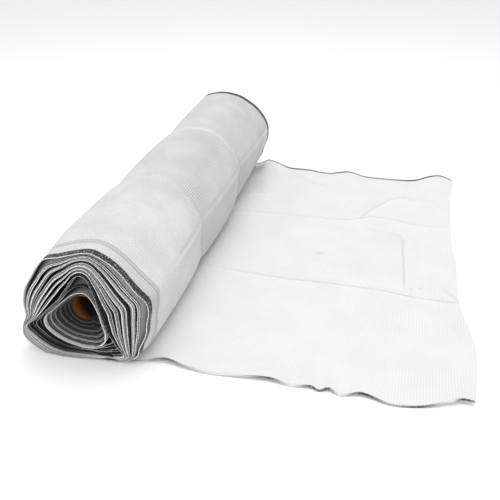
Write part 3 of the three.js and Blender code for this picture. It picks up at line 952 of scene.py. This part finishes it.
def turn_shade(turn, at, distance, room):
    """The light lost on one turn's outer face and on its inner one. room is that to the turn outside it."""
    lost = TURNS["lost"][turn] + 0 * at
    if turn == 1:
        lost = lost + towards(at, SECOND_TURN_LEFT)
    if turn == HANGING_TURN:
        lost = lerp(lost, HANGING_LOST, towards(at, HANGING))
    if turn == HANGING_TURN + 1:
        lost = lerp(lost, BENEATH_HANGING_LOST, towards(at, HANGING))
    from_near = distance + near_edge(turn, at)
    from_far = NET_WIDTH - distance + TURNS["far"][turn]
    outside = max(turn - 1, 0)
    reach = np.clip(REACH_SHARE * room, REACH_LEAST, REACH_MOST)
    near_end = lost_light(from_near - near_edge(outside, at), reach, from_near, lost)
    far_end = lost_light(from_far - TURNS["far"][outside], reach, from_far, lost)
    if turn == HANGING_TURN + 1:
        near_end = near_end * (1 - BENEATH_HANGING_LIT * towards(at, HANGING))
    lit = TURNS["lit"][turn]
    near_inner = lost_light(distance - lit, INNER_FACE_FADES, from_near, lost)
    far_inner = lost_light(NET_WIDTH - distance - lit, INNER_FACE_FADES, from_far, lost)
    low = lost_low(turn, at, distance)
    return [
        1 - (1 - np.minimum(near, far)) * (1 - low)
        for near, far in ((near_end, far_end), (near_inner, far_inner))
    ]


def outer_stations():
    """Distances from the near selvage at which the outer turn is shaped: close together at both
    selvages, at the hem's stitches and on either side of each pinch."""
    fine = [*OUTER_STATIONS, *(NET_WIDTH - f for f in OUTER_STATIONS)]
    fine += [place + off for place in PINCHES for off in PINCH_STATIONS]
    coarse = np.arange(COARSE_MARGIN, NET_WIDTH - COARSE_MARGIN, COARSE_STEP)
    clear = [c for c in coarse if min(abs(c - f) for f in fine) > COARSE_CLEAR]
    return np.array(sorted(fine + clear))


def one_turn(turn, part, distance, relief):
    """One turn's two faces, as grids of places, with each place's direction, its thread band and the light
    lost there. Over its first stretch the turn comes in from the one outside it."""
    last = len(TURNS["place"]) - 1
    radius, at = turn_radius(turn, part, distance)
    further_out = turn_radius(turn - 1, part, distance)[0] if turn > 0 else radius
    inside = turn_radius(turn + 1, part, distance)[0] if turn < last else reach_to_tube(at, TUBE_RADIUS)
    edge = {name: TURNS[name][turn] for name in ("near", "far", "thick", "band")}
    if turn > 0:
        join = 1 - smooth(part, 0, JOIN)
        end_outside = turn_radius(turn - 1, np.ones((1, 1)), distance)[0]
        radius = radius + (end_outside - turn_radius(turn, np.zeros((1, 1)), distance)[0]) * join
        edge = {name: lerp(value, TURNS[name][turn - 1], join) for name, value in edge.items()}
    room_out = np.maximum(further_out - radius, LEAST_ROOM)
    room_in = np.maximum(radius - inside, LEAST_ROOM)
    turned = turn + part
    near, far = edge["near"], edge["far"] + FAR_RIPPLE_DEPTH * wander_by(turned, FAR_RIPPLE)
    if turn > 0:
        sway = wander_by(turned, SWAY) + 0.5 * wander_by(turned, FINE_SWAY)
        sway = SWAY_SHARE * np.minimum(room_in, SWAY_ROOM) * sway
        radius = radius + sway * before(distance, SWAY_ENDS)
        near = near + NEAR_RIPPLE_DEPTH * wander_by(turned, NEAR_RIPPLE)
    thick = lerp(edge["thick"], CLOTH_INSIDE, smooth(distance, *HEM_THINS))
    thick = np.minimum(thick, ROOM_TAKEN * room_in)
    radius = radius + relief(part, at, distance)
    slip = towards(at, SLIP) * max(1 - TURNS["place"][turn] / PLACE_OF_TUBE, 0)
    deeper = near_edge(turn, at) - TURNS["near"][turn]
    y = lerp(near, NET_WIDTH - far, distance / NET_WIDTH)
    y = y + (deeper - slip) * (1 - smooth(distance, 0, SLIP_LENGTH))

    def face(reach):
        right, up = np.cos(np.radians(at)), np.sin(np.radians(at))
        return np.stack([AXIS_X + reach * right, NEAR_END + y, AXIS_Z + reach * up], -1)

    band = edge["band"]
    if turn == 0:
        hides = smooth(at - THREAD_HIDES_FROM, -THREAD_FADES, THREAD_FADES)
        hides = hides * smooth(THREAD_HIDES_TO - at, -THREAD_FADES, THREAD_FADES)
        band = lerp(band, HIDDEN_BAND, hides)
    painted_shade, painted_shade_in = turn_shade(turn, at, distance, room_out)
    grids = {
        "outer": face(radius), "inner": face(radius - thick), "painted_shade": painted_shade, "painted_shade_in": painted_shade_in,
        "at": at, "band": band, "band_in": band * (TURNS["lit"][turn] < HEM_FOLDS_OVER),
    }
    return {key: grid if grid.ndim == 3 else grid + 0 * radius for key, grid in grids.items()}


def strip_of(turns, steps, stations, relief):
    """The grids of a run of turns, from the seam inwards and from the near selvage to the far one."""
    distance = np.array(stations, float)[None, :]
    parts = np.linspace(0, 1, steps + 1)[:, None]
    grids = [
        one_turn(turn, parts if turn == turns[-1] else parts[:-1], distance, relief) for turn in turns
    ]
    found = {key: np.concatenate([grid[key] for grid in grids]) for key in grids[0]}
    if turns[0] == 0:
        found["painted_shade"] = outer_shade(found["at"], distance, found["outer"][..., 2])
    return found


def outer_shade(at, distance, height):
    """How much light the outer turn's face loses: beside the sheet that it rests on, under the second and
    third lengths' bulge low on the right, along its hem there, and under the near end's corner."""
    further = smooth(distance, *FURTHER)
    contact = (CONTACT_LOST + CONTACT_FURTHER * further) * before(height, CONTACT_HEIGHTS)
    contact = contact * (between(at, 0) < 90)
    bulge = (BULGE_LOST + towards(at, BULGE_RIGHT) + towards(at, BULGE_LOW)) * further
    hem = (HEM_LOST + towards(at, HEM_RIGHT)) * before(distance, HEM_ENDS)
    return 1 - (1 - contact) * (1 - bulge) * (1 - under_corner(at, distance)) * (1 - hem)


def no_relief(part, at, distance):
    """The inner turns' faces are plain."""
    return 0 * part * distance


def beside_pinches(distance, rise):
    """One rise beside every pinch."""
    height, beyond, width = rise
    return sum(height * bell(distance - place - beyond, width) for place in PINCHES)


def outer_relief(part, at, distance):
    """What the pinches and the tight winding do to the outer turn's face: a full lip before each pinch and
    a tuck just beyond it, low on the right, a ridge along the roll there, dents, and the hem's stitches."""
    tucks = beside_pinches(distance, PINCH_LIP) - beside_pinches(distance, PINCH_TUCK)
    off_ridge = between(at, RIDGE_DIRECTION - RIDGE_TURNS * distance)
    ridge = RIDGE_HEIGHT * np.exp(-off_ridge / RIDGE_WIDTH)
    ridge = ridge * (1 - RIDGE_LOST_AT_PINCH * np.clip(pinch(distance), 0, 1))
    to_selvage = np.minimum(distance, NET_WIDTH - distance)
    ridge = ridge * smooth(to_selvage, *RIDGE_ENDS)
    dents = DENT_DEPTH * sum(wander_over(at, distance, line) for line in DENTS)
    dents = dents * smooth(to_selvage, 0, DENTS_FADE)
    stitches = sum(bell(distance - row, STITCH_WIDTH) for row in STITCH_ROWS)
    return tucks * towards(at, TUCKS_RIGHT) + ridge + dents - STITCH_DEPTH * stitches


def ribbed(at, distance):
    """How strongly the cloth's ribs show on the outer turn, from 0 to 1: hardly on the first length's top,
    most on the right of the other two, as gathers beside each pinch, and in a line low on the right."""
    further = smooth(distance, PINCHES[0] - RIBS_FADE, PINCHES[0] + RIBS_FADE)
    gathers = sum(
        bell(distance - place, np.where(distance > place, GATHERS_BEYOND, GATHERS_BEFORE))
        for place in PINCHES
    )
    ribs = towards(at, RIBS_RIGHT) * further + gathers * towards(at, GATHERS)
    line = towards(at, LINE_RIBS) * smooth(distance, *LINE_RIBS_START)
    return np.clip(RIBS_LEAST + ribs + line, 0, 1)


def outer_crease_shades(at, distance):
    """How dark the painted shade is along each pinch, strongest low on the right, and beside the tight line.
    """
    beside_line = towards(at, LINE_SHADOW) * smooth(distance, *LINE_STARTS)
    varying = 0.5 + 0.5 * wander_by(distance, CREASE_SHADE_WANDER)
    return beside_pinches(distance, PINCH_CREASE) * towards(at, CREASE_LOW) + beside_line * varying


def outer_painted_highlights(at, distance):
    """How strong the painted highlight is: along each pinch's lip over the top, and on the tight line low on
    the right."""
    over = sum(
        strength * bell(distance - place + HIGHLIGHT_BEFORE, HIGHLIGHT_WIDTH)
        for place, strength in zip(PINCHES, HIGHLIGHT_STRENGTHS)
    )
    line = towards(at, LINE_LIGHT) * smooth(distance, *LINE_STARTS)
    varying = 0.6 + 0.4 * wander_by(distance, HIGHLIGHT_WANDER)
    return np.clip(over * towards(at, HIGHLIGHT_OVER_TOP) + line * varying, 0, 1)


def flatten_to_floor(places, level):
    """Keeps every place at or above a level."""
    places[..., 2] = np.maximum(places[..., 2], level)
    return places


# The loose end's shape

def distance_to_path(x, y, path):
    """Shortest distance from places to a path of straight stretches."""
    least = np.full(np.broadcast(x, y).shape, FAR_AWAY)
    for (ax, ay), (bx, by) in zip(path, path[1:]):
        t = np.clip(((x - ax) * (bx - ax) + (y - ay) * (by - ay)) / ((bx - ax) ** 2 + (by - ay) ** 2), 0, 1)
        least = np.minimum(least, np.hypot(x - ax - t * (bx - ax), y - ay - t * (by - ay)))
    return least


def near_side(x):
    """Where the near selvage lies. What it lacks in lift shows as more inset."""
    lift = read(NEAR_SELVAGE, "x", "lift", x)
    return read(NEAR_SELVAGE, "x", "inset", x) + NEAR_INSET_FOR_LIFT * lift


def near_fold(x):
    """Where the near fold line lies."""
    return read(NEAR_FOLD, "x", "y", x)


def far_fold(x):
    """Where the far fold line lies."""
    return read(FAR_FOLD, "x", "y", x)


def far_side(x):
    """Where the far selvage lies."""
    return NET_WIDTH - read(FAR_SELVAGE, "x", "inset", x)


def sheet_lift(x, y):
    """Height of the loose end's underside over the floor. x runs from the core, y from the near selvage."""
    selvages = (
        NEAR_LIFT_KEPT * read(NEAR_SELVAGE, "x", "lift", x) * bell(np.maximum(y, 0), LIFT_REACH)
        + read(FAR_SELVAGE, "x", "lift", x) * bell(np.maximum(NET_WIDTH - y, 0), LIFT_REACH)
    )
    folds = sum(FOLD_HEIGHT * np.exp(-np.abs(y - fold(x)) / FOLD_WIDTH) for fold in (near_fold, far_fold))
    ridges = sum(height * bell(distance_to_path(x, y, path), width) for height, width, path in RIDGES)
    half = STEP["width"] / 2
    step = (
        STEP["height"]
        * smooth(STEP["right"] - x, -half, half) * smooth(x, STEP["left"] - STEP["fades"], STEP["left"])
        * smooth(y - STEP["near"], -half, half) * smooth(STEP["far"] - y, -half, half)
    )
    swells = sum(
        height * bell(np.hypot(x - sx, y - sy), reach)
        for sx, sy, height, reach in zip(SWELLS["x"], SWELLS["y"], SWELLS["height"], SWELLS["reach"])
    )
    first, second = (wander_over(x, y, line) for line in CRUMPLES)
    off_roll = smooth(x, ROLL_LEAVES_SHEET, ROLL_LEAVES_SHEET + CLEAR_STRIP)
    height = selvages + folds + ridges + step + swells + CRUMPLE_HEIGHT * first * second
    return np.maximum(height, 0) * off_roll


def sheet_crease_shades(x, y):
    """How strongly the thin lines of painted shade along the folds and beside them show, from 0 to 1."""
    clear = FAR_FOLD_LEAST + (1 - FAR_FOLD_LEAST) * bell(x - FAR_FOLD_CLEAREST, FAR_FOLD_REACH)
    near = bell(y - near_fold(x), FOLD_LINE_WIDTH) * smooth(x, *NEAR_FOLD_SHOWS)
    far = bell(y - far_fold(x), FOLD_LINE_WIDTH) * clear
    varying = 0.75 + 0.25 * wander_by(x, FOLD_SHADE_WANDER)
    lines = sum(
        strength * bell(distance_to_path(x, y, path), THIN_LINE_WIDTH) for strength, path in SHEET_LINES
    )
    return np.clip(FOLD_LINE_STRENGTH * (near + far) * varying + lines, 0, 1) * smooth(x, *LINES_SHOW)


def sheet_shade(x, y):
    """How much light the sheet loses in the wedge beside the roll, and a little over the fold beneath."""
    wedge = WEDGE_LOST * np.exp(-np.maximum(x - WEDGE_STARTS, 0) / WEDGE_WIDTH)
    beneath = smooth(STEP["right"] - x, 0, STEP_EDGE) * smooth(x, STEP["left"], STEP["right"] - STEP_SOFT)
    beneath = beneath * smooth(y - STEP["near"], 0, STEP_EDGE) * smooth(STEP["far"] - y, 0, STEP_EDGE)
    return wedge + STEP_LOST * beneath


# Meshes

def shell_mesh(name, outer, inner, across, length, marks, materials, rim_sides):
    """A closed thin mesh between two grids of places, in millimetres. Its rim along the sides that
    rim_sides names, near, far, start or end, takes the second material. marks holds, for each attribute,
    its values on the outer grid and on the inner one."""
    rows, columns = outer.shape[:2]
    count = rows * columns
    index = np.arange(count).reshape(rows, columns)
    a, b, c, d = index[:-1, :-1], index[1:, :-1], index[1:, 1:], index[:-1, 1:]
    top = np.stack([a, b, c, d], -1).reshape(-1, 4)
    under = np.stack([a, d, c, b], -1).reshape(-1, 4) + count

    def wall(line):
        return np.stack([line[:-1], line[:-1] + count, line[1:] + count, line[1:]], -1)

    walls = {
        "near": wall(index[:, 0]),
        "far": wall(index[::-1, -1]),
        "start": wall(index[0, ::-1]),
        "end": wall(index[-1, :]),
    }
    faces = [top, under, *walls.values()]
    uses = [np.zeros(len(top)), np.zeros(len(under))]
    uses += [np.full(len(w), 1 if side in rim_sides else 0) for side, w in walls.items()]
    faces, uses = np.concatenate(faces), np.concatenate(uses).astype(int)
    places = np.concatenate([outer.reshape(-1, 3), inner.reshape(-1, 3)]) * MM

    mesh = bpy.data.meshes.new(name)
    mesh.from_pydata(places.tolist(), [], faces.tolist())
    for material in materials:
        mesh.materials.append(material)
    mesh.polygons.foreach_set("material_index", uses)
    cloth = np.stack([across, length], -1).reshape(-1, 2)
    cloth = np.concatenate([cloth, cloth])
    corners = np.zeros(len(mesh.loops), int)
    mesh.loops.foreach_get("vertex_index", corners)
    mesh.uv_layers.new(name="cloth").data.foreach_set("uv", cloth[corners].ravel())
    for key, (on_outer, on_inner) in marks.items():
        both = np.concatenate([np.ravel(on_outer), np.ravel(on_inner)]).astype(float)
        mesh.attributes.new(key, "FLOAT", "POINT").data.foreach_set("value", both)
    mesh.shade_smooth()
    mesh.validate()
    mesh.update()
    piece = bpy.data.objects.new(name, mesh)
    bpy.context.scene.collection.objects.link(piece)
    bpy.ops.object.select_all(action="DESELECT")
    bpy.context.view_layer.objects.active = piece
    piece.select_set(True)
    bpy.ops.object.mode_set(mode="EDIT")
    bpy.ops.mesh.select_all(action="SELECT")
    bpy.ops.mesh.normals_make_consistent(inside=False)
    bpy.ops.object.mode_set(mode="OBJECT")
    bpy.ops.object.shade_smooth_by_angle(angle=math.radians(50))
    return piece


def length_along(places):
    """Distance along the cloth at each row of a grid, from its first row, in metres."""
    middle = places[:, places.shape[1] // 2]
    steps = np.linalg.norm(np.diff(middle, axis=0), axis=1)
    return np.concatenate([[0], np.cumsum(steps)]) * MM


# Operators

class NETTING_OT_tube(bpy.types.Operator):
    """Make the cardboard tube that the net is wound on"""

    bl_idname = "netting.tube"
    bl_label = "Cardboard tube"

    def execute(self, context):
        low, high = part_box("core")
        bpy.ops.object.select_all(action="DESELECT")
        bpy.ops.mesh.primitive_cylinder_add(
            vertices=96, radius=TUBE_RADIUS * MM, depth=high.y - low.y, end_fill_type="NOTHING",
            location=(CORE_X * MM, (low.y + high.y) / 2, CORE_Z * MM), rotation=(math.pi / 2, 0, 0),
        )
        tube = context.object
        tube.name = tube.data.name = "cardboard_tube"
        bpy.ops.object.transform_apply(location=True, rotation=True, scale=True)
        wall = tube.modifiers.new("wall", "SOLIDIFY")
        wall.thickness = (TUBE_RADIUS - TUBE_BORE) * MM
        wall.offset = -1
        wall.material_offset_rim = 1
        edges = tube.modifiers.new("edges", "BEVEL")
        edges.width, edges.segments, edges.limit_method = 0.5 * MM, 2, "ANGLE"
        tube.data.materials.append(board_material("spiral_wound_board", edge=False))
        tube.data.materials.append(board_material("cut_board_plies", edge=True))
        for name in ("wall", "edges"):
            bpy.ops.object.modifier_apply(modifier=name)
        bpy.ops.object.shade_smooth_by_angle(angle=math.radians(40))
        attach(tube, "root")
        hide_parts("core")
        return {"FINISHED"}


class NETTING_OT_windings(bpy.types.Operator):
    """Make the wound net, as one spiral of cloth in a few runs of turns"""

    bl_idname = "netting.windings"
    bl_label = "Wound net"

    def execute(self, context):
        materials = cloth_materials(laid=False)
        for name, first, stop in TURN_GROUPS:
            is_outer = first == 0
            stations = outer_stations() if is_outer else np.array(STATIONS, float)
            steps = OUTER_STEPS_ROUND if is_outer else STEPS_ROUND
            found = strip_of(range(first, stop), steps, stations, outer_relief if is_outer else no_relief)
            outer = flatten_to_floor(found["outer"], OUTER_FACE_LEVEL)
            inner = flatten_to_floor(found["inner"], INNER_FACE_LEVEL)
            at, band = found["at"], found["band"]
            distance = np.broadcast_to(stations[None, :], band.shape)
            plain_face = 0 * band
            thread = 1 - (0 if is_outer else INNER_THREAD_LOST) * smooth(distance, *INNER_THREAD_FADES)
            crease_shades, painted_highlights, ribs = plain_face, plain_face, INNER_RIBS + plain_face
            if is_outer:
                crease_shades, painted_highlights, ribs = (kind(at, distance) for kind in (outer_crease_shades, outer_painted_highlights, ribbed))
            # The painted shade, the painted crease shade and the painted highlight go to the material with
            # the thread and ribs
            marks = {
                "band": (band, found["band_in"]), "thread": (thread, thread),
                "painted_shade": (found["painted_shade"], found["painted_shade_in"]), "ribbed": (ribs, ribs),
                "crease_shade": (crease_shades, plain_face), "painted_highlight": (painted_highlights, plain_face),
            }
            length = length_along(outer)
            grid = np.broadcast_to(length[:, None], band.shape)
            piece = shell_mesh(name, outer, inner, distance * MM, grid, marks, materials, ("near", "far"))
            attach(piece, "root")
            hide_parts("roll")
        return {"FINISHED"}


class NETTING_OT_loose_end(bpy.types.Operator):
    """Make the length of net that lies unrolled on the floor"""

    bl_idname = "netting.loose_end"
    bl_label = "Loose end"

    def execute(self, context):
        sizes, _, _ = settings()
        sides = (near_side, near_fold, far_fold, far_side)
        shares = [*HALF_BAND, *[1 - s for s in reversed(HALF_BAND[1:-1])]]
        x_grid, y_grid = [], []
        columns = np.linspace(0, 1, SHEET_COLUMNS + 1)
        for near, far in zip(sides, sides[1:]):
            for share in shares + ([1] if far is far_side else []):
                ends = [side(FREE_EDGE["x"][:1]) for side in (near, far)]
                edge = read(FREE_EDGE, "y", "x", lerp(*ends, share))[0]
                x = lerp(SEAM_X + SHEET_GAP, edge, columns)
                x_grid.append(x)
                y_grid.append(lerp(near(x), far(x), share))
        x, y = np.array(x_grid).T, np.array(y_grid).T
        from_near, to_far = y - near_side(x), far_side(x) - y
        off_bead = np.minimum(from_near, to_far) / BEAD_RADIUS - 1
        bead = 2 * BEAD_HEIGHT * np.sqrt(np.clip(1 - off_bead ** 2, 0, 1))
        under = sheet_lift(x, y)
        outer = np.stack([x, NEAR_END + y, under + sizes.cloth / MM + bead], -1)
        inner = np.stack([x, NEAR_END + y, under], -1)
        is_near = from_near < to_far
        across = np.where(is_near, from_near, NET_WIDTH - to_far) * MM
        length = (x - SEAM_X) * MM
        near_thread = np.clip(read(NEAR_SELVAGE, "x", "thread", x), 0, 1)
        thread = np.where(is_near, near_thread, 0.75 + 0.25 * wander_by(x, FAR_THREAD))
        plain_face = 0 * thread
        band = plain_face + sizes.fine_thread / MM
        # The sheet's painted shade beside the roll and its thin lines of painted crease shade
        marks = {
            "band": (band, band), "thread": (thread, thread), "crease_shade": (sheet_crease_shades(x, y), plain_face),
            "painted_shade": (sheet_shade(x, y), plain_face), "ribbed": (plain_face + 1, plain_face + 1),
            "painted_highlight": (plain_face, plain_face),
        }
        materials = cloth_materials(laid=True)
        piece = shell_mesh("loose_length", outer, inner, across, length, marks, materials, ())
        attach(piece, "root")
        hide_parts("loose_end")
        return {"FINISHED"}


def area_light(name, placing, power):
    """A round soft light at its place, turned to the point that it shines at."""
    at, aim, size = placing
    light = bpy.data.lights.new(name, "AREA")
    light.shape, light.size, light.energy = "DISK", size, power
    lamp = bpy.data.objects.new(name, light)
    lamp.location = at
    lamp.rotation_euler = (Vector(aim) - Vector(at)).to_track_quat("-Z", "Y").to_euler()
    bpy.context.scene.collection.objects.link(lamp)


class NETTING_OT_stage(bpy.types.Operator):
    """Make the pale floor, the soft light and the camera"""

    bl_idname = "netting.stage"
    bl_label = "Stage"

    def execute(self, context):
        _, _, stage = settings()
        bpy.ops.object.select_all(action="DESELECT")
        bpy.ops.mesh.primitive_plane_add(size=FLOOR_SIZE, location=FLOOR_AT)
        floor = context.object
        floor.name = "floor"
        material, tree = new_material("pale_floor")
        finish_material(tree, {"Base Color": linear("FEFEFE"), "Roughness": 0.95})
        floor.data.materials.append(material)

        world = bpy.data.worlds.new("pale_surround")
        world.use_nodes = True
        world.node_tree.nodes["Background"].inputs["Color"].default_value = linear("FFFFFF")
        world.node_tree.nodes["Background"].inputs["Strength"].default_value = stage.surround
        context.scene.world = world
        area_light("key", KEY_LIGHT, stage.key_power)
        area_light("fill", FILL_LIGHT, stage.fill_power)

        camera_data = bpy.data.cameras.new("camera")
        camera_data.lens = CAMERA_LENS
        camera = bpy.data.objects.new("camera", camera_data)
        camera.location = CAMERA_AT
        camera.rotation_euler = (math.radians(90 - CAMERA_PITCH), 0, math.radians(CAMERA_HEADING))
        context.scene.collection.objects.link(camera)
        context.scene.camera = camera
        context.scene.view_settings.view_transform = "Standard"
        return {"FINISHED"}


class NETTING_PT_panel(bpy.types.Panel):
    """Sizes, colours and one button for each piece"""

    bl_idname = "NETTING_PT_panel"
    bl_label = "Debris netting"
    bl_space_type = "VIEW_3D"
    bl_region_type = "UI"
    bl_category = "Netting"

    def draw(self, context):
        for group in settings():
            for name in group.bl_rna.properties.keys():
                if name not in ("rna_type", "name"):
                    self.layout.prop(group, name)
        for operator in OPERATORS:
            self.layout.operator(operator.bl_idname)


GROUPS = {"netting_sizes": NettingSizes, "netting_colours": NettingColours, "netting_stage": NettingStage}
OPERATORS = (NETTING_OT_stage, NETTING_OT_tube, NETTING_OT_windings, NETTING_OT_loose_end)


def register():
    for kind in (*GROUPS.values(), *OPERATORS, NETTING_PT_panel):
        bpy.utils.register_class(kind)
    for name, kind in GROUPS.items():
        setattr(bpy.types.Scene, name, bpy.props.PointerProperty(type=kind))


def unregister():
    for name in GROUPS:
        delattr(bpy.types.Scene, name)
    for kind in reversed((*GROUPS.values(), *OPERATORS, NETTING_PT_panel)):
        bpy.utils.unregister_class(kind)


def main():
    register()
    bpy.ops.netting.stage()
    bpy.ops.netting.tube()
    bpy.ops.netting.windings()
    bpy.ops.netting.loose_end()
    bpy.context.view_layer.update()


if __name__ == "__main__":
    main()
